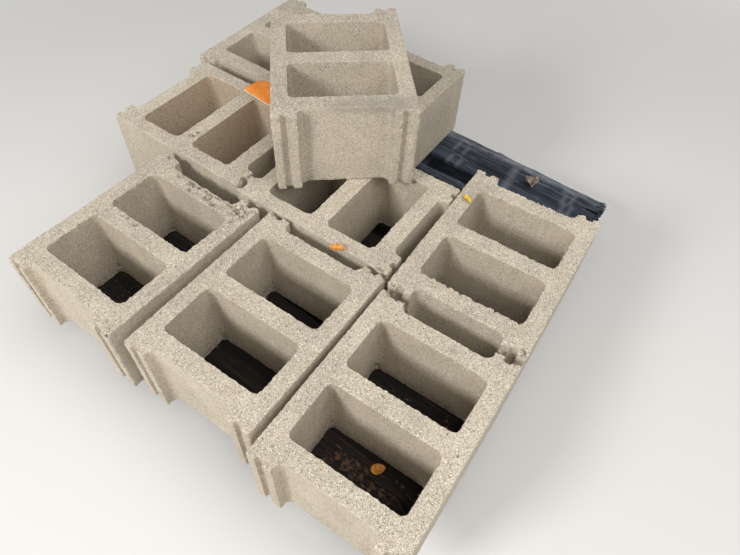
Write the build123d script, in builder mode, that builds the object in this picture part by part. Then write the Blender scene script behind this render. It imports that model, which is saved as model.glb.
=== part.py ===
"""A pallet of nine two-core concrete blocks.

Eight blocks lie in one layer on a weathered wooden pallet and a ninth lies
askew across four of them. Millimetres, +Z up. The origin is on the floor
under the middle of the pallet, X runs along the stringers from the near
blocks to the bare far edge, and Y runs along the deck boards.
"""

from build123d import *
import os
from math import cos, radians, sin, tan

os.makedirs("parts", exist_ok=True)

# Concrete block, measured on its top face
block_length = 390
block_width = 290
block_height = 190
block_corner = 4
face_shell = 35
end_web = 37
centre_web = 40
cell_corner = 12
cell_flare = 2
recess_depth = 22
recess_corner = 14
ear_width = 52
groove_width = 15
groove_depth = 9

# Wooden pallet
pallet_length = 1016
board_length = 1016
deck_thickness = 16
base_thickness = 16
stringer_width = 38
stringer_height = 89
stringer_inset = 12
lead_width = 125
middle_width = 99
middle_boards = 5
base_width = 99
rack_angle = 1.9

# Gaps that the blocks were set down with
gap_right_middle = 12
gap_middle_left = 24
gap_end_to_end = 17
gap_side_to_end = 1
gap_near_centre = 6
gap_centre_left = 4
gap_far = 14
gap_far_pair = 17

# Steps between blocks that are out of line with each other
near_overhang = 87
right_overhang = 44
middle_setback = 22
left_setback = 14
end_step = 11
left_step = 9
far_step = 77
top_back = 3
top_right = 58

# Turn of each block about its own middle, anticlockwise from +X
near_right_turn = 1.0
near_middle_turn = 0.1
near_left_turn = -1.3
right_turn = 2.0
centre_turn = -89.6
left_turn = -90.4
far_left_turn = 0.3
far_middle_turn = 0.2
top_turn = 40.8

# Levels
deck_underside = base_thickness + stringer_height
deck_top = deck_underside + deck_thickness
layer_top = deck_top + block_height

# Plan of the block
end_thickness = recess_depth + end_web
cell_length = (block_length - centre_web) / 2 - end_thickness
cell_width = block_width - 2 * face_shell
cell_spacing = cell_length + centre_web
recess_width = block_width - 2 * ear_width
groove_spacing = block_width - ear_width


def level_plane(x, y, base, turn):
    """Gives the level plane at x, y and the height base, with its own X turned from +X."""
    return Plane(origin=(x, y, base), x_dir=(cos(radians(turn)), sin(radians(turn)), 0), z_dir=(0, 0, 1))


def concrete_block(name, x, y, base, turn):
    """Builds one block with its middle over x, y and its bed at base, and writes it."""
    bed = level_plane(x, y, base, turn)
    with BuildPart() as block:
        with BuildSketch(bed):
            RectangleRounded(block_length, block_width, block_corner)
            # An open hollow in each end leaves two ears, and each ear is grooved
            with GridLocations(block_length, 0, 2, 1):
                RectangleRounded(2 * recess_depth, recess_width, recess_corner, mode=Mode.SUBTRACT)
            with GridLocations(block_length, groove_spacing, 2, 2):
                Rectangle(2 * groove_depth, groove_width, mode=Mode.SUBTRACT)
        extrude(amount=block_height)
        # Each cell narrows upwards, so that its core could be drawn when the block was moulded
        for side in (-1, 1):
            with BuildSketch(bed):
                with Locations((side * cell_spacing / 2, 0)):
                    RectangleRounded(cell_length + 2 * cell_flare, cell_width + 2 * cell_flare, cell_corner)
            with BuildSketch(bed.offset(block_height)):
                with Locations((side * cell_spacing / 2, 0)):
                    RectangleRounded(cell_length, cell_width, cell_corner)
            loft(ruled=True, mode=Mode.SUBTRACT)
    block.part.label = name
    export_step(block.part, f"parts/{name}.step")


def plank(name, x, y, base, length, width, thickness, turn):
    """Builds one sawn board or beam, its length turned from +X, and writes it."""
    with BuildPart() as board:
        with BuildSketch(level_plane(x, y, base, turn)):
            Rectangle(length, width)
        extrude(amount=thickness)
    board.part.label = name
    export_step(board.part, f"parts/{name}.step")


# Pallet: three stringers, bottom boards under them and deck boards racked on them
stringer_spacing = (board_length - stringer_width) / 2 - stringer_inset
for side, place in (("right", -1), ("middle", 0), ("left", 1)):
    plank(f"{side}_stringer", 0, place * stringer_spacing, base_thickness,
          pallet_length, stringer_width, stringer_height, 0)

base_spacing = (pallet_length - base_width) / 2
for side, place in (("near", -1), ("middle", 0), ("far", 1)):
    plank(f"{side}_bottom_board", place * base_spacing, 0, 0,
          board_length, base_width, base_thickness, 90)

lead_place = (pallet_length - lead_width) / 2
deck_gap = (pallet_length - 2 * lead_width - middle_boards * middle_width) / (middle_boards + 1)
plank("near_lead_board", -lead_place, 0, deck_underside,
      board_length, lead_width, deck_thickness, 90 - rack_angle)
plank("far_lead_board", lead_place, 0, deck_underside,
      board_length, lead_width, deck_thickness, 90 - rack_angle)
for number in range(middle_boards):
    board_x = (number - (middle_boards - 1) / 2) * (middle_width + deck_gap)
    plank(f"deck_board_{number + 1}", board_x, 0, deck_underside,
          board_length, middle_width, deck_thickness, 90 - rack_angle)

# Near row, side by side with their ends towards the near edge
near_right_x = block_length / 2 - pallet_length / 2 - near_overhang
near_right_y = block_width / 2 - board_length / 2 - right_overhang
near_middle_x = near_right_x + middle_setback
near_middle_y = near_right_y + block_width + gap_right_middle
near_left_x = near_right_x + left_setback
near_left_y = near_middle_y + block_width + gap_middle_left

# Behind them one end to end and two crosswise
right_x = near_right_x + block_length + gap_end_to_end
right_y = near_right_y + end_step
centre_x = near_middle_x + (block_length + block_width) / 2 + gap_near_centre
right_side_rise = (block_width / 2 + centre_x - right_x) * tan(radians(right_turn))
centre_y = right_y + (block_width + block_length) / 2 + right_side_rise + gap_side_to_end
left_x = centre_x + left_step
left_y = centre_y + block_length + gap_centre_left

# Far pair, lengthwise behind the crosswise blocks
far_middle_x = centre_x + (block_width + block_length) / 2 + gap_far
far_left_x = left_x + (block_width + block_length) / 2 + gap_far
far_left_y = left_y + far_step
far_middle_y = far_left_y - block_width - gap_far_pair

# The last one lies across the place where four of them meet
top_x = centre_x + block_width / 2 + top_back
top_y = centre_y + block_length / 2 - top_right

concrete_block("near_right_block", near_right_x, near_right_y, deck_top, near_right_turn)
concrete_block("near_middle_block", near_middle_x, near_middle_y, deck_top, near_middle_turn)
concrete_block("near_left_block", near_left_x, near_left_y, deck_top, near_left_turn)
concrete_block("right_block", right_x, right_y, deck_top, right_turn)
concrete_block("centre_block", centre_x, centre_y, deck_top, centre_turn)
concrete_block("left_block", left_x, left_y, deck_top, left_turn)
concrete_block("far_left_block", far_left_x, far_left_y, deck_top, far_left_turn)
concrete_block("far_middle_block", far_middle_x, far_middle_y, deck_top, far_middle_turn)
concrete_block("top_block", top_x, top_y, layer_top, top_turn)
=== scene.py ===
"""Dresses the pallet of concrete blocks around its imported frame.

Nine two-core blocks come from one mould, and each is then worn, chipped and
laid where its frame node is. The boards under them are rough-sawn and
weathered, nailed to their stringers, with a few fallen leaves and a plain
card left on top. Sizes are in metres unless a name or a docstring says
otherwise, +Z is up and the frame's own axes are kept.
"""

import logging
import math
import random
from contextlib import contextmanager
from dataclasses import dataclass
from enum import Enum
from functools import partial
from typing import Callable, Iterator, Sequence

import bmesh
import bpy
import numpy as np
from bpy.types import Material, Node, NodeSocket, NodeTree, Object
from mathutils import Matrix, Vector


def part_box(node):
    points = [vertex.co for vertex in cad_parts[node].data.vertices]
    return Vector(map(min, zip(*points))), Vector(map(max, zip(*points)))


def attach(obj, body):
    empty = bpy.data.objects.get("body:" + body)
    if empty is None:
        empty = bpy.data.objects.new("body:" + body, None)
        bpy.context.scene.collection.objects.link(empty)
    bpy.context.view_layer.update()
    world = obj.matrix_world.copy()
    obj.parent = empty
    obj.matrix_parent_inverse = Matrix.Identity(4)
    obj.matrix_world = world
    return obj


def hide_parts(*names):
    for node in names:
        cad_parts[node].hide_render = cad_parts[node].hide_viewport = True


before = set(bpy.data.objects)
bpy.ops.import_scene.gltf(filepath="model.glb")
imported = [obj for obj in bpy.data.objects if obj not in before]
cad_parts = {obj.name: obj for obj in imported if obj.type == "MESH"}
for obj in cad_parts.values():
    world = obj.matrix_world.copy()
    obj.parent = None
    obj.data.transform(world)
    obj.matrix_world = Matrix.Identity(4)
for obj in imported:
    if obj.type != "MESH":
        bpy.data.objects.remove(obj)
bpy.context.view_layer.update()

MM = 0.001
ROOT_BODY = "root"
SIDES = (-1, 1)
GROUP_LEVELS = 16

Pair = tuple[float, float]
Triple = tuple[float, float, float]

log = logging.getLogger("pallet")


class Heading(Enum):
    """Which way a block's own length points, in degrees from +X, before its small real turn."""

    LENGTHWISE = 0.0
    CROSSWISE = -90.0
    ASKEW = 41.0


class Run(Enum):
    """Which way a board's grain and length run."""

    ALONG_X = 0.0
    ALONG_Y = 90.0


# Small tools shared by every piece


def linear(hex_code: str) -> tuple[float, float, float, float]:
    """Turns an sRGB hex colour into a linear one.

    Args:
        hex_code: Six hex digits with a leading hash.

    Returns:
        Red, green, blue and an alpha of 1.
    """
    parts = [int(hex_code[place:place + 2], 16) / 255 for place in (1, 3, 5)]
    red, green, blue = (p / 12.92 if p <= 0.04045 else ((p + 0.055) / 1.055) ** 2.4 for p in parts)
    return red, green, blue, 1.0


def add_node(tree: NodeTree, kind: str, *values: object, named: dict[str, object] | None = None,
             **settings: object) -> Node:
    """Adds a node to a material with its settings and links.

    An input takes a value, a socket, or a node whose first live output is linked.
    A MapRange takes its value and the ends of both ranges, a TexNoise its place,
    scale, detail and roughness, and a Mix its share and the two things mixed.

    Args:
        tree: The node tree that gets the node.
        kind: The node's type, without "ShaderNode".
        *values: What its live inputs take, in their order.
        named: What other inputs take, by name.
        **settings: The node's own properties.

    Returns:
        The new node.
    """
    node = tree.nodes.new(f"ShaderNode{kind}")
    for name, value in settings.items():
        setattr(node, name, value)
    taken = list(zip([socket for socket in node.inputs if socket.enabled], values))
    taken += [(node.inputs[name], value) for name, value in (named or {}).items()]
    for socket, value in taken:
        if isinstance(value, Node):
            value = next(output for output in value.outputs if output.enabled)
        if isinstance(value, NodeSocket):
            tree.links.new(value, socket)
        else:
            socket.default_value = value
    return node


def start_material(name: str) -> tuple[Material, Callable[..., Node]]:
    """Starts a material with an empty node tree.

    Args:
        name: The material's name.

    Returns:
        The material, and add_node for its tree.
    """
    finish = bpy.data.materials.new(name)
    finish.use_nodes = True
    finish.node_tree.nodes.clear()
    return finish, partial(add_node, finish.node_tree)


def set_ramp(node: Node, stops: Sequence[float], colours: Sequence[str]) -> None:
    """Gives a colour ramp its stops.

    Args:
        node: The Color Ramp node.
        stops: Places from 0 to 1, in order.
        colours: The sRGB hex colour of each place.
    """
    ramp = node.color_ramp
    while len(ramp.elements) < len(stops):
        ramp.elements.new(1.0)
    for element, place, colour in zip(ramp.elements, stops, colours):
        element.position = place
        element.color = linear(colour)


def choose(piece: Object) -> None:
    """Makes one object the only one selected, and active.

    Args:
        piece: The object.
    """
    bpy.ops.object.select_all(action="DESELECT")
    piece.select_set(True)
    bpy.context.view_layer.objects.active = piece


@contextmanager
def editing(piece: Object) -> Iterator[None]:
    """Holds a piece in edit mode with nothing selected, then leaves it.

    Args:
        piece: The object.

    Yields:
        Nothing.
    """
    choose(piece)
    bpy.ops.object.mode_set(mode="EDIT")
    bpy.ops.mesh.select_all(action="DESELECT")
    yield
    bpy.ops.object.mode_set(mode="OBJECT")


def pick_edges(piece: Object, test: Callable[[Vector, Vector], bool]) -> None:
    """Selects the edges of a piece in edit mode whose two ends pass a test.

    Args:
        piece: The object.
        test: Takes the places of both ends.
    """
    bpy.ops.mesh.select_mode(type="EDGE")
    shape = bmesh.from_edit_mesh(piece.data)
    for edge in shape.edges:
        edge.select_set(test(edge.verts[0].co, edge.verts[1].co))
    bmesh.update_edit_mesh(piece.data)


def runs_along(axis: int, start: Vector, end: Vector) -> bool:
    """Tells whether an edge runs along one axis, 0 to 2, and no other."""
    return all(abs(start[other] - end[other]) < 1e-6 for other in range(3) if other != axis)


def add_shape(make: Callable[..., set[str]], name: str, place: Sequence[float] = (0, 0, 0),
              turn: Sequence[float] = (0, 0, 0), scale: Sequence[float] = (1, 1, 1),
              **options: object) -> Object:
    """Adds a primitive, with its place, turn and scale in its mesh.

    Args:
        make: The operator that adds it.
        name: The object's name.
        place: Where its middle lies.
        turn: Its turn about each axis, in radians.
        scale: Its scale along its own axes.
        **options: The operator's settings.

    Returns:
        The new object.
    """
    bpy.ops.object.select_all(action="DESELECT")
    make(**options)
    piece = bpy.context.object
    piece.name = name
    piece.location, piece.rotation_euler, piece.scale = place, turn, scale
    bpy.ops.object.transform_apply(location=True, rotation=True, scale=True)
    return piece


def add_prism(name: str, size: Sequence[float], middle: Sequence[float] = (0, 0, 0), corner: float = 0.0,
              steps: int = 5) -> Object:
    """Adds a box whose four upright edges may be rounded.

    Args:
        name: The object's name.
        size: Length, width and height.
        middle: Its middle point.
        corner: Radius of the upright edges, if they are rounded.
        steps: Segments in each rounded edge.

    Returns:
        The new object.
    """
    piece = add_shape(bpy.ops.mesh.primitive_cube_add, name, middle, scale=size, size=1)
    if corner:
        with editing(piece):
            pick_edges(piece, partial(runs_along, 2))
            bpy.ops.mesh.bevel(offset=corner, offset_type="OFFSET", segments=steps, affect="EDGES")
    return piece


def modify(piece: Object, kind: str, **settings: object) -> None:
    """Adds one modifier to a piece and applies it.

    Args:
        piece: The object.
        kind: The modifier's type.
        **settings: The modifier's settings.
    """
    modifier = piece.modifiers.new(kind.lower(), kind)
    for name, value in settings.items():
        setattr(modifier, name, value)
    choose(piece)
    bpy.ops.object.modifier_apply(modifier=modifier.name)


def join(pieces: Sequence[Object], name: str) -> Object:
    """Joins several pieces into one.

    Args:
        pieces: The objects.
        name: The joined object's name.

    Returns:
        The joined object.
    """
    choose(pieces[0])
    for piece in pieces[1:]:
        piece.select_set(True)
    bpy.ops.object.join()
    joined = bpy.context.object
    joined.name = name
    return joined


def carve(piece: Object, cutter: Object) -> None:
    """Cuts one piece out of another and removes the cutter."""
    modify(piece, "BOOLEAN", operation="DIFFERENCE", solver="EXACT", use_self=True, object=cutter)
    bpy.data.objects.remove(cutter)


def points_of(piece: Object) -> np.ndarray:
    """Reads a mesh's points.

    Args:
        piece: The object.

    Returns:
        Rows of x, y and z.
    """
    flat = np.empty(len(piece.data.vertices) * 3, np.float64)
    piece.data.vertices.foreach_get("co", flat)
    return flat.reshape(-1, 3)


def set_points(piece: Object, points: np.ndarray) -> None:
    """Writes a mesh's points back."""
    piece.data.vertices.foreach_set("co", np.ascontiguousarray(points, np.float32).ravel())
    piece.data.update()


def set_value(piece: Object, name: str, values: np.ndarray) -> None:
    """Stores one number for each point of a mesh, for its material to read."""
    layer = piece.data.attributes.new(name, "FLOAT", "POINT")
    layer.data.foreach_set("value", np.ascontiguousarray(values, np.float32))


def set_group(piece: Object, name: str, weights: np.ndarray) -> None:
    """Stores weights as a vertex group, rounded to a few levels.

    Args:
        piece: The object that gets the group.
        name: The group's name.
        weights: One weight from 0 to 1 for each point.
    """
    group = piece.vertex_groups.new(name=name)
    rounded = np.rint(np.clip(weights, 0, 1) * GROUP_LEVELS).astype(int)
    for level in range(1, GROUP_LEVELS + 1):
        group.add(np.flatnonzero(rounded == level).tolist(), level / GROUP_LEVELS, "REPLACE")


def smooth_step(low: float, high: float, values: np.ndarray) -> np.ndarray:
    """Rises smoothly from 0 at low to 1 at high."""
    share = np.clip((values - low) / (high - low), 0, 1)
    return share * share * (3 - 2 * share)


def laid(place: Sequence[float], degrees: float) -> Matrix:
    """Gives the transform that lays a thing at a place, turned about Z."""
    return Matrix.Translation(place) @ Matrix.Rotation(math.radians(degrees), 4, "Z")


def triangles_in(piece: Object) -> int:
    """Counts the triangles that a piece comes to."""
    return sum(len(face.vertices) - 2 for face in piece.data.polygons)


def settle(piece: Object, finish: Material, crease: float | None = None) -> None:
    """Gives a finished piece its shading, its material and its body.

    Args:
        piece: The finished object, at the origin with its place in its mesh.
        finish: Its material.
        crease: The angle in degrees above which an edge stays sharp, where the piece is smooth.
    """
    if crease:
        choose(piece)
        bpy.ops.object.shade_smooth_by_angle(angle=math.radians(crease))
    piece.data.materials.clear()
    piece.data.materials.append(finish)
    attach(piece, ROOT_BODY)
    log.info("%s: %d triangles", piece.name, triangles_in(piece))


@dataclass(frozen=True)
class Relief:
    """One kind of unevenness that eats into a surface.

    Attributes:
        grain: Size of its lumps.
        depth: How far in it goes at most.
        contrast: How hard its lumps are edged, from 1 upwards.
        spared: How much of the surface it leaves alone, from 1 for little of it upwards.
        detail: Octaves of finer lumps.
        stretch: How much longer the lumps are along their own X.
    """

    grain: float
    depth: float
    contrast: float = 1.0
    spared: float = 1.0
    detail: int = 2
    stretch: float = 1.0

    def apply(self, piece: Object, group: str = "", turn: float = 0.0) -> None:
        """Displaces a piece's surface inwards.

        Args:
            piece: The object that is eaten into.
            group: The vertex group that limits it, if any.
            turn: Turn of the stretched lumps about Z, in degrees.
        """
        lumps = bpy.data.textures.new("lumps", "CLOUDS")
        lumps.noise_scale = self.grain
        lumps.noise_depth = self.detail
        lumps.contrast = self.contrast
        lumps.intensity = self.spared
        space = bpy.data.objects.new("space", None)
        bpy.context.scene.collection.objects.link(space)
        space.scale.x = self.stretch
        space.rotation_euler.z = math.radians(turn)
        bpy.context.view_layer.update()
        modify(piece, "DISPLACE", texture=lumps, texture_coords="OBJECT", texture_coords_object=space,
               direction="NORMAL", mid_level=1.0, strength=self.depth, vertex_group=group)
        bpy.data.objects.remove(space)
        bpy.data.textures.remove(lumps)


# Finishes


@dataclass(frozen=True)
class DryCastConcrete:
    """Dry-mix concrete pressed in a steel mould, then years outdoors.

    The eye gets a warm grey-tan paste full of sand and small stones. The
    struck faces at the top and bottom are open and gritty, the moulded faces
    are closer, with fine upright drag marks and a few pits, and a break shows
    the coarse mix. Painted shade darkens the pits, the gaps between sand
    grains and the seams between stones. A pair of numbers holds for moulded
    faces, then for open ones.
    """

    paste_dark: str = "#A99E8F"
    paste_mid: str = "#C6BAA6"
    paste_light: str = "#DBCFBB"
    face_tint: str = "#D8CCB7"
    cell_tint: str = "#C9AE8D"
    sand_dark: str = "#635A4F"
    sand_light: str = "#F4EEE2"
    sand_rust: str = "#95735A"
    stone_dark: str = "#6E675D"
    stone_light: str = "#D8CDBA"
    # Painted shade for the pits, the gaps between sand grains and the seams between stones
    recess_shade_colour: str = "#675E51"
    damp_colour: str = "#8E877C"
    paste_stops: Triple = (0.38, 0.51, 0.63)
    sand_stops: tuple[float, ...] = (0.0, 0.08, 0.34, 0.64, 0.90, 0.97)
    mottle_size: float = 80 * MM
    batch_size: float = 350 * MM
    batch_share: float = 0.35
    face_tint_share: float = 0.36
    drag_width: float = 7 * MM
    drag_length: float = 120 * MM
    drag_tones: Pair = (0.94, 1.04)
    sand_size: float = 1.6 * MM
    sand_shown: Pair = (0.38, 0.54)
    # How dark the painted shade in the gaps between sand grains gets
    crevice_shade_share: float = 0.38
    pepper_spacing: float = 3.6 * MM
    pepper_share: float = 0.55
    salt_spacing: float = 4.1 * MM
    salt_share: float = 0.52
    grains_shown: Pair = (0.42, 0.70)
    grain_reach: float = 0.38
    grain_crispness: float = 12
    stone_size: float = 7 * MM
    stone_share: float = 0.85
    pit_spacing: float = 8 * MM
    pit_reach: float = 0.38
    pit_crispness: float = 6
    pit_unevenness: float = 0.22
    pore_size: float = 1.2 * MM
    damp_size: float = 25 * MM
    damp_share: float = 0.85
    sand_rise: float = -0.8
    pit_drop: float = -1.4
    bump_strength: Pair = (0.45, 0.90)
    bump_height: float = 0.8 * MM
    roughness: float = 0.93
    specular: float = 0.25

    def grains(self, add: Callable[..., Node], place: NodeSocket, under: Node, colour: str, spacing: float,
               share: float, shown: Node) -> Node:
        """Scatters single grains of one colour over a surface, crisp at their edges.

        Args:
            add: Adds a node to the material.
            place: The points' places.
            under: The colour so far.
            colour: The grains' colour.
            spacing: How far apart the grains may lie.
            share: How many of those places hold a grain, from 0 to 1.
            shown: How much each grain covers.

        Returns:
            The colour with its grains.
        """
        cells = add("TexVoronoi", place, 1 / spacing)
        draw = add("SeparateColor", cells.outputs["Color"])
        reach = add("MapRange", draw, 1 - share, 1, 0, self.grain_reach)
        inside = add("Math", reach, cells, operation="SUBTRACT")
        spot = add("Math", inside, self.grain_crispness, operation="MULTIPLY", use_clamp=True)
        cover = add("Math", spot, shown, operation="MULTIPLY")
        return add("Mix", cover, under, linear(colour), data_type="RGBA")

    def material(self) -> Material:
        """Builds the material, which every block shares.

        Returns:
            The material.
        """
        finish, add = start_material("dry_cast_concrete")
        place = add("TexCoord").outputs["Object"]
        open_face, broken, in_cell, damp = (add("Attribute", attribute_name=name).outputs["Fac"]
                                            for name in ("open_face", "broken", "in_cell", "damp"))
        coarse = add("Math", open_face, broken, operation="MAXIMUM")
        recess_shade_colour = linear(self.recess_shade_colour)

        # Paste, mottled over a hand's breadth and from block to block, yellower where the mould pressed it
        mottle = add("TexNoise", place, 1 / self.mottle_size, 6, 0.65)
        batch = add("TexNoise", place, 1 / self.batch_size, 1)
        paste = add("ValToRGB", add("Mix", self.batch_share, mottle, batch))
        set_ramp(paste, self.paste_stops, (self.paste_dark, self.paste_mid, self.paste_light))
        pressed = add("Mix", self.face_tint_share, paste, linear(self.face_tint), data_type="RGBA")
        skin = add("Mix", coarse, pressed, paste, data_type="RGBA")
        lined = add("Mix", in_cell, skin, linear(self.cell_tint), data_type="RGBA")

        # Upright drag marks from the mould, only on the moulded faces
        drawn = add("Mapping", place, named={
            "Scale": (1 / self.drag_width, 1 / self.drag_width, 1 / self.drag_length)})
        marks = add("MapRange", add("TexNoise", drawn, 1, 2), 0.3, 0.7, *self.drag_tones)
        moulded = add("Math", 1, coarse, operation="SUBTRACT")
        dragged = add("VectorMath", lined, add("Mix", moulded, 1, marks), operation="MULTIPLY")

        # Sand, bare on the open faces and half hidden on the others, with a few larger dark and light
        # grains and painted shade in the gaps between grains. All of it is drawn a little coarser than real,
        # so that it shows at the render's size.
        sand = add("TexVoronoi", place, 1 / self.sand_size)
        mix = add("ValToRGB", add("SeparateColor", sand.outputs["Color"]))
        mix.color_ramp.interpolation = "CONSTANT"
        set_ramp(mix, self.sand_stops, (self.sand_dark, self.paste_dark, self.paste_mid, self.paste_light,
                                        self.sand_light, self.sand_rust))
        packed = add("Mix", add("MapRange", coarse, 0, 1, *self.sand_shown), dragged, mix, data_type="RGBA")
        # Painted shade: the gaps between the sand grains are darkened towards the recess shade colour
        crevice = add("MapRange", sand, 0.40, 0.75, 0, self.crevice_shade_share)
        bed = add("Mix", crevice, packed, recess_shade_colour, data_type="RGBA")
        shown = add("MapRange", coarse, 0, 1, *self.grains_shown)
        peppered = self.grains(add, place, bed, self.sand_dark, self.pepper_spacing, self.pepper_share, shown)
        sandy = self.grains(add, place, peppered, self.sand_light, self.salt_spacing, self.salt_share, shown)

        # Stones up to the size of a pea, with painted shade in the seams between them, which only a break
        # lays open
        stone = add("TexVoronoi", place, 1 / self.stone_size)
        tone = add("Mix", add("SeparateColor", stone.outputs["Color"]), linear(self.stone_dark),
                   linear(self.stone_light), data_type="RGBA")
        bare = add("MapRange", stone, 0.25, 0.50, self.stone_share, 0)
        stony = add("Mix", add("Math", bare, broken, operation="MULTIPLY"), sandy, tone, data_type="RGBA")
        # Painted shade in the seams between the stones of a break
        between = add("MapRange", stone, 0.45, 0.75, 0, self.stone_share)
        gritty = add("Mix", add("Math", between, broken, operation="MULTIPLY"), stony, recess_shade_colour,
                     data_type="RGBA")

        # Pits where air or a lost grain left a small hole of uneven outline; the bump dents each one, and its
        # dark colour is painted shade inside the hole
        jitter = add("TexNoise", place, 1 / self.pore_size, 2)
        holes = add("TexVoronoi", place, 1 / self.pit_spacing)
        size = add("SeparateColor", holes.outputs["Color"])
        edge = add("Math", jitter, self.pit_unevenness, holes, operation="MULTIPLY_ADD")
        reach = add("MapRange", size.outputs["Green"], 0.55, 1, 0, self.pit_reach)
        inside = add("Math", reach, edge, operation="SUBTRACT")
        pit = add("Math", inside, self.pit_crispness, operation="MULTIPLY", use_clamp=True)
        pitted = add("Mix", pit, gritty, recess_shade_colour, data_type="RGBA")

        # Grey, slow-drying patches
        patch = add("TexNoise", place, 1 / self.damp_size, 4)
        wet = add("MapRange", add("Math", damp, patch, operation="MULTIPLY"), 0.1, 0.75, 0, self.damp_share)
        stained = add("Mix", wet, pitted, linear(self.damp_colour), data_type="RGBA")

        # Grain that is too fine for the mesh: sand stands up, pits go in
        lumps = add("Math", sand, self.sand_rise, jitter, operation="MULTIPLY_ADD")
        hollow = add("Math", pit, self.pit_drop, lumps, operation="MULTIPLY_ADD")
        strength = add("MapRange", coarse, 0, 1, *self.bump_strength)
        bump = add("Bump", strength, self.bump_height, named={"Height": hollow})
        surface = add("BsdfPrincipled", stained, 0, self.roughness, named={
            "Specular IOR Level": self.specular, "Normal": bump})
        add("OutputMaterial", surface)
        return finish


@dataclass(frozen=True)
class WeatheredTimber:
    """Rough-sawn softwood that has lain outdoors for years.

    Bare boards go slate grey with silvery raised grain, checks along it that
    are near black with painted shade, patches rubbed pale and a few dull
    scrapes. Boards under the blocks stay wet, near black and brown.
    """

    run: Run
    skew: float = 0.0
    dry: tuple[str, str, str] = ("#171A21", "#2F3540", "#5A6270")
    dry_stops: Triple = (0.36, 0.50, 0.64)
    wet: tuple[str, str, str] = ("#0C0B0B", "#1D1917", "#483A2C")
    wet_stops: Triple = (0.38, 0.52, 0.68)
    scuff_colour: str = "#8F9398"
    # Painted shade inside the checks
    check_shade_colour: str = "#0B0C0F"
    grain_length: float = 130 * MM
    grain_width: float = 3.5 * MM
    fibre_share: float = 0.55
    patch_length: float = 70 * MM
    patch_width: float = 11 * MM
    worn_share: float = 0.22
    lifted_share: float = 0.75
    scrape_share: float = 0.34
    check_shade_share: float = 0.85
    bump_height: float = 3.0 * MM
    roughness: float = 0.85
    specular: float = 0.3

    def drawn_out(self, length: float, width: float) -> dict[str, object]:
        """Scales a pattern to so much along the board and so much across it."""
        return {"Scale": (1 / length, 1 / width, 1 / width)}

    def material(self) -> Material:
        """Builds the material for boards that run one way.

        Returns:
            The material.
        """
        finish, add = start_material(f"weathered_timber_{self.run.name.lower()}")
        turn = (0, 0, -math.radians(self.run.value - self.skew))
        turned = add("Mapping", add("TexCoord").outputs["Object"], (0, 0, 0), turn)
        damp, worn, scraped = (add("Attribute", attribute_name=name).outputs["Fac"]
                               for name in ("damp", "worn", "scraped"))

        # Growth lines: fine fibres inside broad bands, both drawn out along the board. The fibres
        # are coarser than real ones, so that they show at the render's size.
        fibres = add("Mapping", turned, named=self.drawn_out(self.grain_length, self.grain_width))
        fine = add("TexNoise", fibres, 1, 5, 0.7)
        bands = add("Mapping", turned, named=self.drawn_out(self.grain_length / 0.3, self.grain_width / 0.12))
        broad = add("TexNoise", bands, 1, 4, named={"Distortion": 0.6})
        grain = add("Mix", self.fibre_share, broad, fine)
        dry = add("ValToRGB", grain)
        set_ramp(dry, self.dry_stops, self.dry)
        wet = add("ValToRGB", grain)
        set_ramp(wet, self.wet_stops, self.wet)
        soaked = add("Mix", damp, dry, wet, data_type="RGBA")

        # Silvery patches where the surface has lifted, and dull scrapes, only on dry wood
        patches = add("Mapping", turned, named=self.drawn_out(self.patch_length, self.patch_width))
        patch = add("TexNoise", patches, 1, 6, 0.75)
        rubbed = add("Math", worn, self.worn_share, patch, operation="MULTIPLY_ADD")
        lifted = add("MapRange", rubbed, 0.56, 0.80, 0, self.lifted_share)
        dragged = add("Math", scraped, self.scrape_share, operation="MULTIPLY")
        pale = add("Math", lifted, dragged, operation="MAXIMUM")
        bare = add("Math", 1, damp, operation="SUBTRACT")
        silver = add("Math", pale, bare, operation="MULTIPLY")
        scuffed = add("Mix", silver, soaked, linear(self.scuff_colour), data_type="RGBA")

        # Checks that open along the grain, near black with painted shade inside the cracks
        check = add("MapRange", fine, 0.40, 0.32, 0, self.check_shade_share)
        checked = add("Mix", check, scuffed, linear(self.check_shade_colour), data_type="RGBA")

        bump = add("Bump", 1, self.bump_height, named={"Height": grain})
        surface = add("BsdfPrincipled", checked, 0, self.roughness, named={
            "Specular IOR Level": self.specular, "Normal": bump})
        add("OutputMaterial", surface)
        return finish


@dataclass(frozen=True)
class SpeckledFinish:
    """A thin or small thing's finish: two tones in soft blotches over a fine bump.

    Rusted nail heads, a fallen leaf and a coated card all show a base colour
    that a second one breaks up. What differs is the tones, the size of the
    blotches and the sheen.
    """

    name: str
    base: str
    blotch: str
    blotch_size: float
    roughness: float
    metallic: float = 0.0

    def material(self) -> Material:
        """Builds the material.

        Returns:
            The material.
        """
        finish, add = start_material(self.name)
        cloud = add("TexNoise", add("TexCoord").outputs["Object"], 1 / self.blotch_size, 5)
        tone = add("ValToRGB", cloud)
        set_ramp(tone, (0.42, 0.66), (self.base, self.blotch))
        bump = add("Bump", 0.5, 0.5 * MM, named={"Height": cloud})
        surface = add("BsdfPrincipled", tone, self.metallic, self.roughness, named={"Normal": bump})
        add("OutputMaterial", surface)
        return finish


# Blocks


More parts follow.
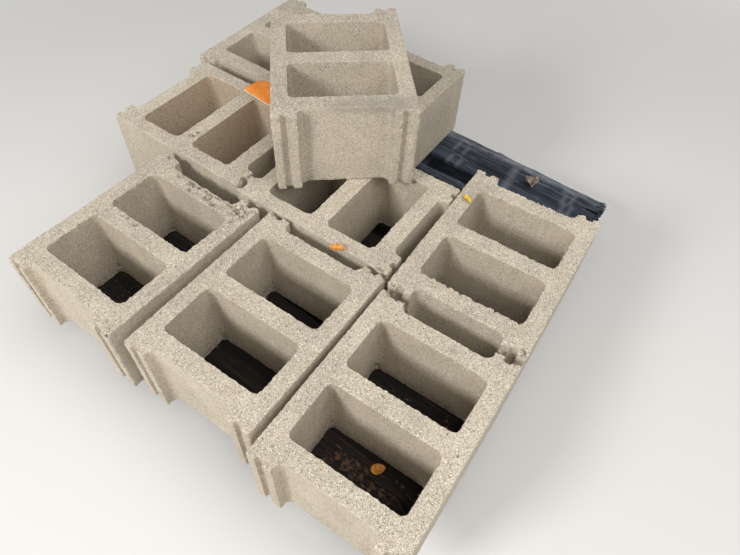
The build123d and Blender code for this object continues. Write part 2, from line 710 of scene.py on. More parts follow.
@dataclass(frozen=True)
class BlockMould:
    """The shape in which every block leaves the mould, in its own axes, with its bed at zero."""

    length: float = 390 * MM
    width: float = 290 * MM
    height: float = 190 * MM
    corner: float = 4 * MM
    face_shell: float = 35 * MM
    end_web: float = 37 * MM
    centre_web: float = 40 * MM
    cell_corner: float = 12 * MM
    cell_flare: float = 2 * MM
    recess_depth: float = 22 * MM
    recess_corner: float = 14 * MM
    ear_width: float = 52 * MM
    groove_width: float = 15 * MM
    groove_depth: float = 9 * MM
    core_spare: float = 10 * MM

    @property
    def cell_length(self) -> float:
        """Length of a cell's mouth along the block."""
        return (self.length - self.centre_web) / 2 - self.recess_depth - self.end_web

    @property
    def cell_width(self) -> float:
        """Width of a cell's mouth across the block."""
        return self.width - 2 * self.face_shell

    @property
    def cell_place(self) -> float:
        """Distance from the block's middle to a cell's middle."""
        return (self.cell_length + self.centre_web) / 2

    @property
    def recess_width(self) -> float:
        """Width of the open hollow in each end."""
        return self.width - 2 * self.ear_width

    @property
    def groove_place(self) -> float:
        """Distance from the block's middle to a groove's middle, across the block."""
        return (self.width - self.ear_width) / 2

    def end_shapes(self) -> list[tuple[Pair, Pair, float]]:
        """Lists what is taken out of the ends in plan.

        Returns:
            Each hollow's and groove's middle, length and width, and corner radius.
        """
        shapes = []
        for end in SIDES:
            face = end * self.length / 2
            shapes.append(((face, 0), (2 * self.recess_depth, self.recess_width), self.recess_corner))
            shapes += [((face, side * self.groove_place), (2 * self.groove_depth, self.groove_width), 0.0)
                       for side in SIDES]
        return shapes

    def cell_core(self, side: int) -> Object:
        """Makes the core that leaves one cell, wider at its foot.

        Args:
            side: -1 for the near cell, 1 for the far one.

        Returns:
            The core, longer than the block is high.
        """
        tall = self.height + 2 * self.core_spare
        spread = self.cell_flare * tall / self.height
        x = side * self.cell_place
        core = add_prism("cell_core", (self.cell_length, self.cell_width, tall), (x, 0, self.height / 2),
                         self.cell_corner)
        with editing(core):
            pick_edges(core, lambda start, end: max(start.z, end.z) < 0)
            bpy.ops.transform.resize(
                value=(1 + 2 * spread / self.cell_length, 1 + 2 * spread / self.cell_width, 1),
                center_override=(x, 0, -self.core_spare))
        return core

    def cast(self) -> Object:
        """Models one perfect block.

        Returns:
            The block.
        """
        middle = self.height / 2
        block = add_prism("block", (self.length, self.width, self.height), (0, 0, middle), self.corner, 3)
        cores = [self.cell_core(side) for side in SIDES]
        cores += [add_prism("end_core", (*size, self.height * 1.2), (*place, middle), corner)
                  for place, size, corner in self.end_shapes()]
        carve(block, join(cores, "cores"))
        return block

    def flat_distance(self, points: np.ndarray, middle: Pair, size: Pair, corner: float) -> np.ndarray:
        """Measures how far points lie outside a rounded rectangle in plan, negative inside.

        Args:
            points: Rows of x, y and z in the block's axes.
            middle: The rectangle's middle.
            size: Its length and width.
            corner: Its corner radius.

        Returns:
            One distance for each point.
        """
        over = np.abs(points[:, :2] - middle) - (np.array(size) / 2 - corner)
        outside = np.hypot(*np.maximum(over, 0).T)
        return outside + np.minimum(over.max(axis=1), 0) - corner

    def cell_distance(self, points: np.ndarray) -> np.ndarray:
        """Measures how far points lie from the nearer cell in plan, negative inside it."""
        return np.minimum(*(self.flat_distance(points, (side * self.cell_place, 0),
                                               (self.cell_length, self.cell_width), self.cell_corner)
                            for side in SIDES))

    def depths(self, points: np.ndarray) -> tuple[np.ndarray, np.ndarray]:
        """Measures how far points lie from the mould's faces.

        Args:
            points: Rows of x, y and z in the block's axes.

        Returns:
            How far each point lies from the nearest upright face, and from the nearer struck one.
        """
        outside = self.flat_distance(points, (0, 0), (self.length, self.width), self.corner)
        hollows = [self.flat_distance(points, *shape) for shape in self.end_shapes()]
        behind = np.min([-outside, self.cell_distance(points), *hollows], axis=0)
        return np.abs(behind), np.minimum(np.abs(self.height - points[:, 2]), np.abs(points[:, 2]))

    def arris_distance(self, points: np.ndarray) -> np.ndarray:
        """Measures how far points lie in plan from the nearest upright arris of the block's ends.

        Args:
            points: Rows of x, y and z in the block's axes.

        Returns:
            One distance for each point.
        """
        half_groove = self.groove_width / 2
        places = (self.width / 2, self.groove_place + half_groove, self.groove_place - half_groove,
                  self.recess_width / 2)
        along = np.abs(np.abs(points[:, 0]) - self.length / 2)
        across = np.abs(points[:, 1])
        return np.min([np.hypot(along, across - place) for place in places], axis=0)


@dataclass(frozen=True)
class Break:
    """A place where a block has lost some of itself, as the lump that is missing.

    Attributes:
        place: The lump's middle in millimetres: along, across and up from the block's middle and bed.
        size: Its half sizes in millimetres.
        end: Where a row of such lumps ends, for a crumbled edge.
        count: How many lumps stand in the row.
    """

    place: Triple
    size: Triple
    end: Triple | None = None
    count: int = 1


@dataclass(frozen=True)
class Stain:
    """A damp patch on a block: its middle and half sizes in millimetres in the block's axes."""

    place: Triple
    size: Triple


@dataclass
class ConcreteBlock:
    """One block of the stack, cast in the shared mould, then worn and laid in its place.

    Attributes:
        node: The frame's node that it stands for.
        heading: Which way its length points.
        seed: Starts its own random draws.
        breaks: What has broken off.
        stains: Where it is damp.
        ragged: How much its rims have crumbled, as a depth.
        warmth: How brown its cells are, from 0 to 1.
        budget: The most triangles that it may keep.
        voxel: How fine its mesh is before that.
        lump_wander: How far a lump strays in a break, as a share of its half size.
        lump_swell: The least and the most that a lump's size is changed by.
        lump_tilt: How far a lump may lean, in radians.
        mould: The mould it was cast in.
    """

    node: str
    heading: Heading
    seed: int
    breaks: tuple[Break, ...] = ()
    stains: tuple[Stain, ...] = ()
    ragged: float = 1.5 * MM
    warmth: float = 0.1
    budget: int = 80_000
    voxel: float = 2.2 * MM
    lump_wander: float = 0.3
    lump_swell: Pair = (0.75, 1.2)
    lump_tilt: float = 0.35
    mould: BlockMould = BlockMould()

    def lie(self) -> Matrix:
        """Works out from the frame where the block lies and how it is turned.

        Returns:
            The transform from the block's axes to the frame's.
        """
        low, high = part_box(self.node)
        upright = [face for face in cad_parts[self.node].data.polygons if abs(face.normal.z) < 0.001]
        long_side = max(upright, key=lambda face: face.area).normal
        turn = math.degrees(math.atan2(long_side.y, long_side.x)) - 90
        turn -= 180 * round((turn - self.heading.value) / 180)
        return laid(((low.x + high.x) / 2, (low.y + high.y) / 2, low.z), turn)

    def missing(self) -> Object | None:
        """Models everything that has broken off.

        Returns:
            One cutter, or None where nothing is missing.
        """
        draw = random.Random(self.seed)
        lumps = []
        for gap in self.breaks:
            start, end = Vector(gap.place), Vector(gap.end or gap.place)
            for number in range(gap.count):
                middle = start.lerp(end, (number + 0.5) / gap.count if gap.count > 1 else 0.0)
                wander = [draw.uniform(-self.lump_wander, self.lump_wander) * half for half in gap.size]
                scale = [half * draw.uniform(*self.lump_swell) * MM for half in gap.size]
                turn = [draw.uniform(-self.lump_tilt, self.lump_tilt) for _ in range(3)]
                place = (middle + Vector(wander)) * MM
                lumps.append(add_shape(bpy.ops.mesh.primitive_ico_sphere_add, "lump", place, turn, scale,
                                       subdivisions=3, radius=1))
        if not lumps:
            return None
        cutter = join(lumps, "missing")
        Relief(9 * MM, 3 * MM, detail=3).apply(cutter)
        return cutter

    def wear(self, block: Object) -> None:
        """Eats into the block's rims, struck faces, moulded faces and breaks, each in its own way.

        Args:
            block: The remeshed block, in its own axes.
        """
        points = points_of(block)
        behind, from_end = self.mould.depths(points)
        struck = smooth_step(0, 2 * MM, behind - from_end)
        for group, weights in {
            "arris": 1 - smooth_step(2 * MM, 6 * MM, self.mould.arris_distance(points)),
            "rim": 1 - smooth_step(1 * MM, 5 * MM, behind + from_end),
            "struck": struck,
            "moulded": 1 - struck,
            "lost": smooth_step(1.5 * MM, 3.5 * MM, np.minimum(behind, from_end)),
        }.items():
            set_group(block, group, weights)
        place = self.lie()
        block.data.transform(place)
        for group, relief in (
            ("rim", Relief(4 * MM, 0.8 * self.ragged, contrast=2.0, spared=1.2, detail=1)),
            ("rim", Relief(10 * MM, 1.3 * self.ragged, contrast=2.2, spared=1.55, detail=3)),
            ("arris", Relief(8 * MM, 2.0 * MM, contrast=2.6, spared=1.4)),
            ("struck", Relief(5 * MM, 0.4 * MM, contrast=1.5, detail=1)),
            ("struck", Relief(28 * MM, 1.0 * MM)),
            ("moulded", Relief(30 * MM, 0.5 * MM)),
            ("lost", Relief(10 * MM, 3.0 * MM, contrast=2.2)),
            ("lost", Relief(5 * MM, 1.6 * MM, contrast=2.0, detail=1)),
        ):
            relief.apply(block, group)
        block.data.transform(place.inverted())

    def mark(self, block: Object) -> None:
        """Stores for the material which parts are struck, broken, inside a cell or damp.

        Args:
            block: The worn block, in its own axes.
        """
        points = points_of(block)
        behind, from_end = self.mould.depths(points)
        struck = smooth_step(-1 * MM, 2 * MM, behind - from_end)
        from_cell = np.abs(self.mould.cell_distance(points))
        damp = np.zeros(len(points))
        for stain in self.stains:
            away = np.sqrt((((points / MM - stain.place) / stain.size) ** 2).sum(axis=1))
            damp = np.maximum(damp, 1 - smooth_step(0.4, 1.2, away))
        for name, values in {
            "open_face": struck,
            "broken": smooth_step(1.5 * MM, 4 * MM, np.minimum(behind, from_end)),
            "in_cell": (1 - smooth_step(4 * MM, 8 * MM, from_cell)) * (1 - struck) * self.warmth,
            "damp": damp,
        }.items():
            set_value(block, name, values)

    def build(self, casting: Object, finish: Material) -> None:
        """Makes the block from a copy of the casting.

        Args:
            casting: A perfect block.
            finish: The concrete.
        """
        block = bpy.data.objects.new(f"{self.node}_worn", casting.data.copy())
        bpy.context.scene.collection.objects.link(block)
        cutter = self.missing()
        if cutter:
            carve(block, cutter)
        modify(block, "REMESH", mode="VOXEL", voxel_size=self.voxel * 1)
        self.wear(block)
        modify(block, "DECIMATE", ratio=min(1.0, self.budget / triangles_in(block)))
        half_length, half_width = self.mould.length / 2, self.mould.width / 2
        set_points(block, np.clip(points_of(block), (-half_length, -half_width, 0),
                                  (half_length, half_width, self.mould.height)))
        self.mark(block)
        block.vertex_groups.clear()
        block.data.transform(self.lie())
        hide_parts(self.node)
        settle(block, finish, crease=36)


# Pallet


@dataclass(frozen=True)
class Split:
    """A split that runs in from a board's end.

    Attributes:
        across: Its place across the board, from the middle.
        reach: How far in it runs.
        gape: How wide it is at the end.
        end: 1 for the end at high X or Y, -1 for the other.
    """

    across: float
    reach: float
    gape: float
    end: int = 1


@dataclass
class PalletBoard:
    """One sawn board or stringer, with raised grain, worn arrises and split ends.

    Attributes:
        node: The frame's node that it stands for.
        run: Which way it runs.
        size: Its length, width and thickness.
        cuts: How many times it is divided along, across and through.
        skew: Its small turn from its run, in degrees.
        splits: The splits in its ends.
        dry_from: The X from which the wood is dry, as nothing lies on it.
        dry_blur: The width over which it dries.
        dryness: How dry it gets there, from 0 to 1.
        worn_edge: How wide a strip along its edge at high X has been rubbed pale.
        scrapes: Pale scrapes across it: each one's place along it, its slant and its width.
    """

    node: str
    run: Run
    size: Triple
    cuts: tuple[int, int, int]
    skew: float = 0.0
    splits: tuple[Split, ...] = ()
    dry_from: float = 0.45
    dry_blur: float = 60 * MM
    dryness: float = 0.95
    worn_edge: float = 0.0
    scrapes: tuple[Triple, ...] = ()

    def lie(self) -> Matrix:
        """Works out from the frame where the board lies."""
        low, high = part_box(self.node)
        return laid((low + high) / 2, self.run.value + self.skew)

    def divide(self, board: Object) -> None:
        """Cuts the board into a fine grid, closest across its grain.

        Args:
            board: The plain board, in its own axes.
        """
        for axis, cuts in enumerate(self.cuts):
            with editing(board):
                pick_edges(board, partial(runs_along, axis))
                bpy.ops.mesh.subdivide(number_cuts=cuts)

    def open_splits(self, board: Object) -> None:
        """Cuts the splits as thin wedges that close towards the board's middle.

        Args:
            board: The divided board, in its own axes.
        """
        length, _, thick = self.size
        for split in self.splits:
            wedge = add_shape(bpy.ops.mesh.primitive_cone_add, "wedge", turn=(0, -split.end * math.pi / 2, 0),
                              vertices=6, radius1=1, radius2=0, depth=1)
            wedge.scale = (split.reach * 1.1, split.gape / 2, thick)
            wedge.location = (split.end * (length - split.reach) / 2, split.across, 0)
            bpy.ops.object.transform_apply(location=True, rotation=True, scale=True)
            carve(board, wedge)

    def weather(self, board: Object) -> None:
        """Raises the grain, wears the arrises and roughens the ends, all inwards.

        Args:
            board: The divided board, in its place.
        """
        back = np.array(self.lie().inverted())
        local = points_of(board) @ back[:3, :3].T + back[:3, 3]
        end, edge, face = (np.array(self.size) / 2 - np.abs(local)).T
        set_group(board, "arris", 1 - smooth_step(1 * MM, 7 * MM, edge + face))
        set_group(board, "ends", 1 - smooth_step(0, 25 * MM, end))
        for group, relief in (
            ("", Relief(7 * MM, 2.0 * MM, contrast=2.2, stretch=16)),
            ("", Relief(30 * MM, 1.5 * MM, stretch=5)),
            ("arris", Relief(14 * MM, 4.0 * MM, contrast=2.0, detail=3, stretch=5)),
            ("ends", Relief(6 * MM, 12.0 * MM, contrast=2.8, stretch=10)),
        ):
            relief.apply(board, group, self.run.value + self.skew)

    def mark(self, board: Object) -> None:
        """Stores for the material where the board is damp, rubbed pale or scraped.

        Args:
            board: The weathered board, in its place.
        """
        points = points_of(board)
        lie = self.lie()
        out = points - np.array(lie.translation)
        along, across = out @ np.array(lie.col[0].to_3d()), out @ np.array(lie.col[1].to_3d())
        worn, scraped = np.zeros(len(points)), np.zeros(len(points))
        if self.worn_edge:
            half = self.size[1] / 2
            worn = smooth_step(half - self.worn_edge, half - self.worn_edge / 3, -across)
        for place, slant, width in self.scrapes:
            away = np.abs(along + slant * across - place)
            scraped = np.maximum(scraped, 1 - smooth_step(0.3 * width, width, away))
        dry = smooth_step(self.dry_from - self.dry_blur, self.dry_from, points[:, 0])
        for name, values in {"damp": 1 - self.dryness * dry, "worn": worn, "scraped": scraped}.items():
            set_value(board, name, values)

    def build(self, finish: Material) -> None:
        """Makes the board from a box.

        Args:
            finish: The timber.
        """
        board = add_prism(f"{self.node}_weathered", self.size)
        self.divide(board)
        self.open_splits(board)
        board.data.transform(self.lie())
        self.weather(board)
        set_points(board, np.clip(points_of(board), *np.array(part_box(self.node))))
        self.mark(board)
        board.vertex_groups.clear()
        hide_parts(self.node)
        settle(board, finish, crease=45)


@dataclass
class Pallet:
    """The three-stringer pallet: stringers, bottom boards, and deck boards racked out of square."""

    length: float = 1016 * MM
    board_length: float = 1016 * MM
    deck_thickness: float = 16 * MM
    base_thickness: float = 16 * MM
    stringer_width: float = 38 * MM
    stringer_height: float = 89 * MM
    lead_width: float = 125 * MM
    board_width: float = 99 * MM
    middle_boards: int = 5
    rack_angle: float = 1.9
    nail_radius: float = 3.6 * MM
    nail_depth: float = 4 * MM
    nail_bevel: float = 0.9 * MM
    nail_pitch: float = 50 * MM
    nail_stagger: float = 12 * MM
    nail_sunk: float = 0.6 * MM
    rust: SpeckledFinish = SpeckledFinish("rusted_nail_steel", "#4A3A30", "#6E4A34", 2 * MM, 0.7, 0.3)

    def carriage(self) -> list[PalletBoard]:
        """Lists what the deck lies on.

        Returns:
            The stringers, then the bottom boards.
        """
        stringer = (self.length, self.stringer_width, self.stringer_height)
        base = (self.board_length, self.board_width, self.base_thickness)
        return [
            *(PalletBoard(f"{side}_stringer", Run.ALONG_X, stringer, (90, 9, 20), dry_from=-1.0)
              for side in ("right", "middle", "left")),
            *(PalletBoard(f"{side}_bottom_board", Run.ALONG_Y, base, (70, 22, 3), dry_from=-1.0)
              for side in ("near", "middle", "far")),
        ]

    def deck(self) -> list[PalletBoard]:
        """Lists the deck boards with their wear.

        Returns:
            The boards from the near one to the far one.
        """
        board = (self.board_length, self.board_width, self.deck_thickness)
        lead = (self.board_length, self.lead_width, self.deck_thickness)
        skew = -self.rack_angle
        return [
            PalletBoard("near_lead_board", Run.ALONG_Y, lead, (100, 36, 3), skew),
            *(PalletBoard(f"deck_board_{number + 1}", Run.ALONG_Y, board, (100, 28, 3), skew, dry_from=0.33)
              for number in range(self.middle_boards)),
            PalletBoard(
                "far_lead_board", Run.ALONG_Y, lead, (260, 52, 5), skew, dry_from=0.36, worn_edge=40 * MM,
                scrapes=((-0.078, 0.16, 6 * MM), (-0.107, 0.20, 6 * MM), (-0.256, 0.1, 14 * MM),
                         (-0.410, 0.25, 10 * MM), (-0.432, 0.20, 8 * MM)),
                splits=(Split(-0.012, 0.095, 12 * MM, -1), Split(0.022, 0.065, 9 * MM, -1),
                        Split(-0.040, 0.05, 7 * MM, -1), Split(0.005, 0.06, 4 * MM, 1))),
        ]

    def nail(self, place: Vector) -> Object:
        """Models one domed nail head with a short shank.

        Args:
            place: The middle of its top.

        Returns:
            The nail.
        """
        middle = place - Vector((0, 0, self.nail_depth / 2))
        nail = add_shape(bpy.ops.mesh.primitive_cylinder_add, "nail", middle,
                         vertices=14, radius=self.nail_radius, depth=self.nail_depth)
        with editing(nail):
            pick_edges(nail, lambda start, end: min(start.z, end.z) > middle.z)
            bpy.ops.mesh.bevel(offset=self.nail_bevel, segments=2, affect="EDGES")
        return nail

    def nails(self) -> Object:
        """Nails every deck board to every stringer, two nails to a crossing.

        Returns:
            All nails as one object.
        """
        heads = []
        rows = [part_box(f"{side}_stringer") for side in ("right", "middle", "left")]
        for board in self.deck():
            low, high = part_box(board.node)
            for inner, outer in rows:
                across = (inner.y + outer.y) / 2
                along = (low.x + high.x) / 2 + across * math.tan(math.radians(self.rack_angle))
                for side in SIDES:
                    heads.append(self.nail(Vector((along + side * self.nail_pitch / 2,
                                                   across + side * self.nail_stagger / 2,
                                                   high.z - self.nail_sunk))))
        return join(heads, "deck_nails")

    def build(self) -> None:
        """Builds the boards and their nails."""
        timber = {Run.ALONG_X: WeatheredTimber(Run.ALONG_X).material(),
                  Run.ALONG_Y: WeatheredTimber(Run.ALONG_Y, self.rack_angle).material()}
        for board in self.carriage() + self.deck():
            board.build(timber[board.run])
        settle(self.nails(), self.rust.material(), crease=40)


# Loose things on top


@dataclass
class PlainCard:
    """A coated card, blank, with a pale sheet under it, lying beside the top block.

    Attributes:
        corners: Its corners on the left block's top, going round.
        backing_slip: How far the pale sheet has slipped out from under it.
        level: Height of what it lies on.
        thickness: Of either sheet.
        lift: How high its near edge curls.
        cuts: Divisions along each side.
        face: The card's finish.
        back: The sheet's finish.
    """

    corners: tuple[Pair, ...] = ((0.0887, 0.3622), (0.1427, 0.3591), (0.1660, 0.3215), (0.0831, 0.2520))
    backing_slip: Pair = (-2.5 * MM, -2 * MM)
    level: float = 311 * MM
    thickness: float = 0.5 * MM
    lift: float = 4 * MM
    cuts: int = 18
    face: SpeckledFinish = SpeckledFinish("coated_orange_card", "#F08A28", "#F79E45", 20 * MM, 0.45)
    back: SpeckledFinish = SpeckledFinish("pale_backing_sheet", "#D9D0C0", "#E9E4DA", 15 * MM, 0.7)

    def sheet(self, name: str, slip: Pair, level: float, finish: SpeckledFinish) -> None:
        """Makes one sheet from a grid whose corners are drawn to their places.

        Args:
            name: The object's name.
            slip: How far it lies from the card's own corners.
            level: Height of its underside.
            finish: Its finish.
        """
        card = add_shape(bpy.ops.mesh.primitive_grid_add, name, x_subdivisions=self.cuts,
                         y_subdivisions=self.cuts, size=1)
        along, across = (points_of(card)[:, :2] + 0.5).T
        shares = ((1 - along) * (1 - across), along * (1 - across), along * across, (1 - along) * across)
        flat = sum(share[:, None] * (np.array(corner) + slip) for share, corner in zip(shares, self.corners))
        curl = self.lift * (1 - across) ** 3 + 0.4 * self.lift * np.sin(along * 5) * (1 - across)
        set_points(card, np.column_stack([flat, level + self.thickness / 2 + np.maximum(curl, 0)]))
        modify(card, "SOLIDIFY", thickness=self.thickness, offset=0)
        settle(card, finish.material())

    def build(self) -> None:
        """Makes the card and the sheet under it."""
        self.sheet("blank_card", (0, 0), self.level + 1.1 * self.thickness, self.face)
        self.sheet("card_backing", self.backing_slip, self.level, self.back)


@dataclass
class Litter:
    """Crumbs of soil or flakes of bark that lie on the deck at the bottom of one cell.

    Attributes:
        name: The joined object's name.
        block: The block whose cell they lie in.
        middle: Where they lie thickest, in millimetres in the block's axes.
        spread: How far they scatter along and across the block, in millimetres.
        size: Length, width and height of a middling piece, in millimetres.
        count: How many there are.
        seed: Starts their random draws.
        size_range: The smallest and the largest, as shares of the middling one.
        swell_range: How much a piece is pulled out of shape.
        sunk: How deep the smallest lie in the deck's grain.
    """

    name: str
    block: ConcreteBlock
    middle: Pair
    spread: Pair
    size: Triple
    count: int
    seed: int
    size_range: Pair = (0.45, 1.6)
    swell_range: Pair = (0.7, 1.2)
    sunk: float = 0.8 * MM

    def build(self, boards: Sequence[PalletBoard], finish: Material) -> None:
        """Scatters the pieces, each a rough lump with its own mesh.

        Args:
            boards: The deck boards.
            finish: Their material.
        """
        draw = random.Random(self.seed)
        mould, lie = self.block.mould, self.block.lie()
        cell = math.copysign(mould.cell_place, self.middle[0])
        top = max(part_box(board.node)[1].z for board in boards)
        pieces = []
        while len(pieces) < self.count:
            along, across = (draw.gauss(*place) * MM for place in zip(self.middle, self.spread))
            size = [side * draw.uniform(*self.size_range) * MM for side in self.size]
            # Crumbs lie any way round, and flakes roughly along the boards
            is_crumb = self.size[0] < 2 * self.size[1]
            turn = draw.uniform(0, math.pi) if is_crumb else draw.gauss(math.pi / 2, 0.3)
            shape = [(draw.uniform(*self.swell_range), draw.uniform(*self.swell_range), 1) for _ in range(12)]
            place = lie @ Vector((along, across, 0))
            in_cell = (abs(along - cell) <= mould.cell_length / 2 - size[0]
                       and abs(across) <= mould.cell_width / 2 - size[0])
            on_board = any(abs((board.lie().inverted() @ place).y) < (board.size[1] - self.size[0] * MM) / 2
                           for board in boards)
            if in_cell and on_board:
                piece = add_shape(bpy.ops.mesh.primitive_ico_sphere_add, "crumb", subdivisions=1, radius=0.5)
                set_points(piece, points_of(piece) * shape)
                place.z = top + 0.2 * size[2] - self.sunk
                piece.data.transform(laid(place, math.degrees(turn)) @ Matrix.Diagonal((*size, 1)))
                pieces.append(piece)
        settle(join(pieces, self.name), finish)


@dataclass
class FallenLeaf:
    """A fallen leaf: an oval blade with a point, folded along its rib and curled.

    Attributes:
        name: The object's name.
        place: Where its middle lies.
        size: Its length and width.
        turn: Where its tip points, in degrees from +X.
        curl: How high its sides stand.
        thickness: Of its blade.
        cuts: Divisions along and across.
    """

    name: str
    place: Triple
    size: Pair
    turn: float
    curl: float
    thickness: float = 0.4 * MM
    cuts: int = 14

    def build(self, finish: Material) -> None:
        """Makes the leaf from a grid.

        Args:
            finish: The leaf's colour.
        """
        leaf = add_shape(bpy.ops.mesh.primitive_grid_add, self.name, x_subdivisions=self.cuts,
                         y_subdivisions=self.cuts, size=2)
        along, across, _ = points_of(leaf).T
        blade = np.maximum(1 - along ** 2, 0.0025) ** 0.6 * (1 - 0.25 * along)
        length, width = self.size
        crumple = 0.25 * self.curl * (np.sin(5 * along + 3 * across) * np.cos(4 * across - along) + 1)
        rise = self.curl * np.abs(across) ** 1.6 * blade + 0.3 * self.curl * along ** 2 + crumple
        set_points(leaf, np.column_stack([along * length / 2, across * blade * width / 2, rise]))
        modify(leaf, "SOLIDIFY", thickness=self.thickness, offset=1)
        leaf.data.transform(laid(self.place, self.turn))
        settle(leaf, finish, crease=60)


# Studio


@dataclass
class Studio:
    """A pale floor that runs into a pale backdrop, a soft key, a broad light overhead, and the camera.

    The floor carries painted shade where the pallet covers it, a dark colour
    for the shadow that no light reaches there on real ground, and this painted shade shows through the gaps
    in the deck.
    """

    floor_colour: str = "#D6D4D0"
    # Painted shade: the floor's colour where the pallet covers it, standing in for the shadow under it
    painted_shade_colour: str = "#2E2C29"
    painted_shade_half: float = 0.49
    painted_shade_blur: float = 0.10
    backdrop_colour: str = "#D9D7D3"
    backdrop_from: float = 1.1
    backdrop_by: float = 2.8
    floor_size: float = 60.0
    light_aim: Triple = (0, 0, 0.25)
    key_place: Triple = (-3.2, 0.7, 2.3)
    key_power: float = 96.0
    key_size: float = 0.9
    fill_place: Triple = (-0.5, -1.7, 3.2)
    fill_power: float = 92.0
    fill_size: float = 3.0
    sky_strength: float = 0.34
    camera_place: Triple = (-0.7799, -0.5875, 1.2005)
    camera_aim: Triple = (0.5154, 0.3235, -0.7935)
    camera_up: Triple = (0.6368, 0.4751, 0.6073)
    lens: float = 28.55
    sensor_width: float = 36.0

    def paper(self) -> Material:
        """Builds the floor's material: lit paper near the object with painted shade under the pallet, and the
        backdrop's even tone far from it.

        Returns:
            The material.
        """
        finish, add = start_material("studio_paper")
        place = add("TexCoord").outputs["Object"]
        axes = add("SeparateXYZ", place)
        # Painted shade: the floor turns dark inside the pallet's footprint
        covered_x, covered_y = (
            add("MapRange", add("Math", axes.outputs[axis], operation="ABSOLUTE"), self.painted_shade_half,
                self.painted_shade_half - self.painted_shade_blur, interpolation_type="SMOOTHSTEP")
            for axis in range(2))
        covered = add("Math", covered_x, covered_y, operation="MULTIPLY")
        colour = add("Mix", covered, linear(self.floor_colour), linear(self.painted_shade_colour), data_type="RGBA")
        lit = add("BsdfPrincipled", colour, named={"Roughness": 0.95})
        even = add("Emission", linear(self.backdrop_colour))
        reach = add("VectorMath", place, operation="LENGTH")
        far = add("MapRange", reach, self.backdrop_from, self.backdrop_by, interpolation_type="SMOOTHSTEP")
        share = add("Math", far, add("LightPath").outputs["Is Camera Ray"], operation="MULTIPLY")
        add("OutputMaterial", add("MixShader", share, lit, even))
        return finish

    def lay_floor(self) -> None:
        """Lays the floor and keeps it out of the object."""
        floor = add_shape(bpy.ops.mesh.primitive_plane_add, "studio_floor", size=self.floor_size)
        floor.data.materials.append(self.paper())

    def add_light(self, name: str, place: Triple, power: float, size: float) -> None:
        """Hangs one square light that faces the stack.

        Args:
            name: The light's name.
            place: Where it hangs.
            power: Its power in watts.
            size: Its side.
        """
        light = bpy.data.lights.new(name, "AREA")
        light.energy = power
        light.size = size
        lamp = bpy.data.objects.new(name, light)
        bpy.context.scene.collection.objects.link(lamp)
        lamp.location = place
        lamp.rotation_euler = (Vector(self.light_aim) - Vector(place)).to_track_quat("-Z", "Y").to_euler()

    def light_up(self) -> None:
        """Lights the scene from an even sky, the key and the overhead fill."""
        self.add_light("key", self.key_place, self.key_power, self.key_size)
        self.add_light("fill", self.fill_place, self.fill_power, self.fill_size)
        world = bpy.data.worlds.new("studio")
        bpy.context.scene.world = world
        world.use_nodes = True
        tree = world.node_tree
        seen = add_node(tree, "LightPath").outputs["Is Camera Ray"]
        grey = (self.sky_strength, self.sky_strength, self.sky_strength, 1.0)
        tone = add_node(tree, "Mix", seen, grey, linear(self.backdrop_colour), data_type="RGBA")
        tree.links.new(tone.outputs[2], tree.nodes["Background"].inputs["Color"])
        bpy.context.scene.view_settings.view_transform = "Standard"

    def set_camera(self) -> None:
        """Places the camera where the picture was taken from."""
        camera = bpy.data.objects.new("camera", bpy.data.cameras.new("camera"))
        bpy.context.scene.collection.objects.link(camera)
        camera.data.lens = self.lens
        camera.data.sensor_width = self.sensor_width
        camera.data.clip_start = 10 * MM
        back = -Vector(self.camera_aim).normalized()
        right = Vector(self.camera_up).cross(back).normalized()
        turn = Matrix((right, back.cross(right), back)).transposed().to_4x4()
        camera.matrix_world = Matrix.Translation(self.camera_place) @ turn
        bpy.context.scene.camera = camera

    def build(self) -> None:
        """Sets up the floor, the lights and the camera."""
        self.lay_floor()
        self.light_up()
        self.set_camera()


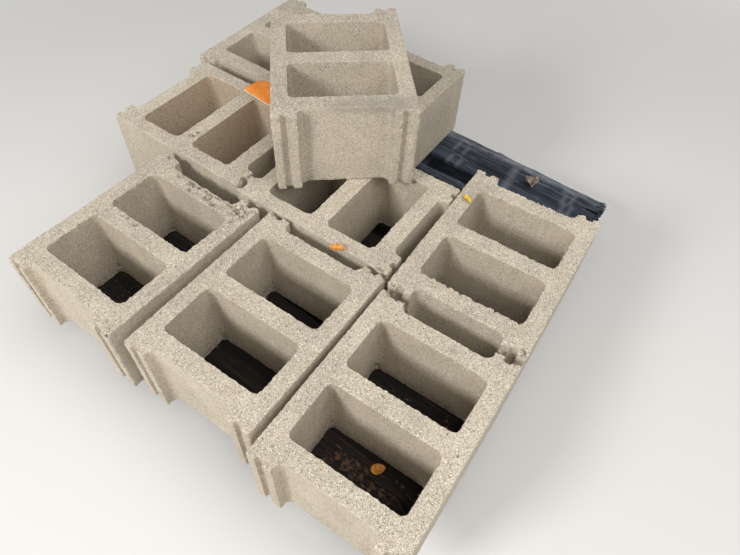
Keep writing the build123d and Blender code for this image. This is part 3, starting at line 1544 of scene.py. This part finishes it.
def blocks() -> list[ConcreteBlock]:
    """Lists the nine blocks with their wear.

    Returns:
        The blocks from the near row to the top one.
    """
    return [
        ConcreteBlock("near_right_block", Heading.LENGTHWISE, 11, (
            Break((196, 128, 190), (10, 17, 10), (190, 100, 191), 2),
            Break((195, -128, 190), (8, 12, 8)),
            Break((-196, 40, 191), (5, 8, 4)),
        )),
        ConcreteBlock("near_middle_block", Heading.LENGTHWISE, 12, (
            Break((196, -144, 190), (13, 12, 14)),
            Break((-170, -110, 191), (6, 8, 4)),
            Break((196, 128, 190), (9, 12, 8)),
        )),
        ConcreteBlock("near_left_block", Heading.LENGTHWISE, 13, (
            Break((-196, 144, 190), (13, 15, 10)),
            Break((-194, -146, 190), (15, 11, 9)),
            Break((169, 65, 192), (15, 12, 7), (177, -140, 191), 19),
            Break((150, 10, 193), (15, 14, 6), (158, -120, 193), 11),
            Break((178, -122, 193), (15, 14, 6), (138, -130, 193), 5),
            Break((16, 75, 191), (8, 10, 5), (12, 10, 191), 3),
        ), ragged=1.8 * MM),
        ConcreteBlock("right_block", Heading.LENGTHWISE, 14, (
            Break((-194, 128, 190), (10, 16, 10)),
            Break((-192, -130, 190), (12, 14, 10)),
            Break((-138, -20, 191), (5, 7, 4), (-136, 80, 191), 4),
            Break((196, -90, 190), (7, 9, 7)),
        ), ragged=2.6 * MM),
        ConcreteBlock("centre_block", Heading.CROSSWISE, 15, (
            Break((188, -144, 190), (14, 10, 9), (150, -146, 191), 3),
            Break((-195, -130, 190), (12, 14, 14)),
        )),
        ConcreteBlock("left_block", Heading.CROSSWISE, 16, (
            Break((4, -60, 191), (10, 9, 6), (2, -92, 191), 2),
            Break((197, -140, 190), (8, 10, 9), (198, -100, 190), 3),
            Break((60, 112, 191), (9, 5, 4), (-20, 112, 191), 3),
        ), warmth=0.75),
        ConcreteBlock("far_left_block", Heading.LENGTHWISE, 17, budget=60_000),
        ConcreteBlock("far_middle_block", Heading.LENGTHWISE, 18, (
            Break((192, -70, 190), (9, 12, 7), (188, 30, 190), 5),
        ), budget=70_000),
        ConcreteBlock("top_block", Heading.ASKEW, 19, (
            Break((195, 60, 191), (6, 9, 5)),
            Break((194, -92, 191), (7, 8, 6)),
        ), stains=(
            Stain((-170, -60, 190), (40, 120, 22)),
        ), ragged=1.1 * MM, budget=90_000),
    ]


def main() -> None:
    """Builds the object piece by piece, and the studio around it."""
    logging.basicConfig(level=logging.INFO, format="%(name)s: %(message)s")
    Studio().build()
    concrete = DryCastConcrete().material()
    casting = BlockMould().cast()
    stack = {block.node: block for block in blocks()}
    for block in stack.values():
        block.build(casting, concrete)
    bpy.data.objects.remove(casting)
    pallet = Pallet()
    pallet.build()

    soil = SpeckledFinish("wet_soil_crumbs", "#1A1614", "#5A5048", 7 * MM, 0.9).material()
    bark = SpeckledFinish("rotten_bark", "#1E1713", "#6A5039", 9 * MM, 0.85).material()
    near_left, near_right = stack["near_left_block"], stack["near_right_block"]
    for litter, finish in (
        (Litter("near_left_soil", near_left, (-80, 20), (34, 60), (4, 3, 2.5), 260, 31), soil),
        (Litter("near_left_far_soil", near_left, (85, -20), (26, 50), (3.5, 2.8, 2), 110, 32), soil),
        (Litter("near_right_bark", near_right, (-78, 30), (30, 62), (19, 6.5, 4.5), 150, 33), bark),
        (Litter("near_right_far_bark", near_right, (80, -40), (30, 50), (12, 4, 3), 50, 34), bark),
    ):
        litter.build(pallet.deck(), finish)
    PlainCard().build()

    brown = SpeckledFinish("dry_brown_leaf", "#6B5A50", "#BBAA9D", 8 * MM, 0.7).material()
    gold = SpeckledFinish("dry_gold_leaf", "#B8701F", "#DCA04A", 6 * MM, 0.6).material()
    yellow = SpeckledFinish("fresh_yellow_leaf", "#E4BE16", "#CFA62C", 8 * MM, 0.6).material()
    for leaf, finish in (
        (FallenLeaf("brown_leaf", (0.4335, -0.3119, 0.121), (0.040, 0.034), 35, 0.020), brown),
        (FallenLeaf("cell_leaf", (-0.4378, -0.4172, 0.1225), (0.029, 0.020), -40, 0.004), gold),
        (FallenLeaf("gap_leaf", (-0.1847, -0.1337, 0.3115), (0.032, 0.016), -62, 0.007), gold),
        (FallenLeaf("edge_leaf", (0.0937, -0.2718, 0.3112), (0.024, 0.011), -110, 0.005), yellow),
    ):
        leaf.build(finish)


if __name__ == "__main__":
    main()
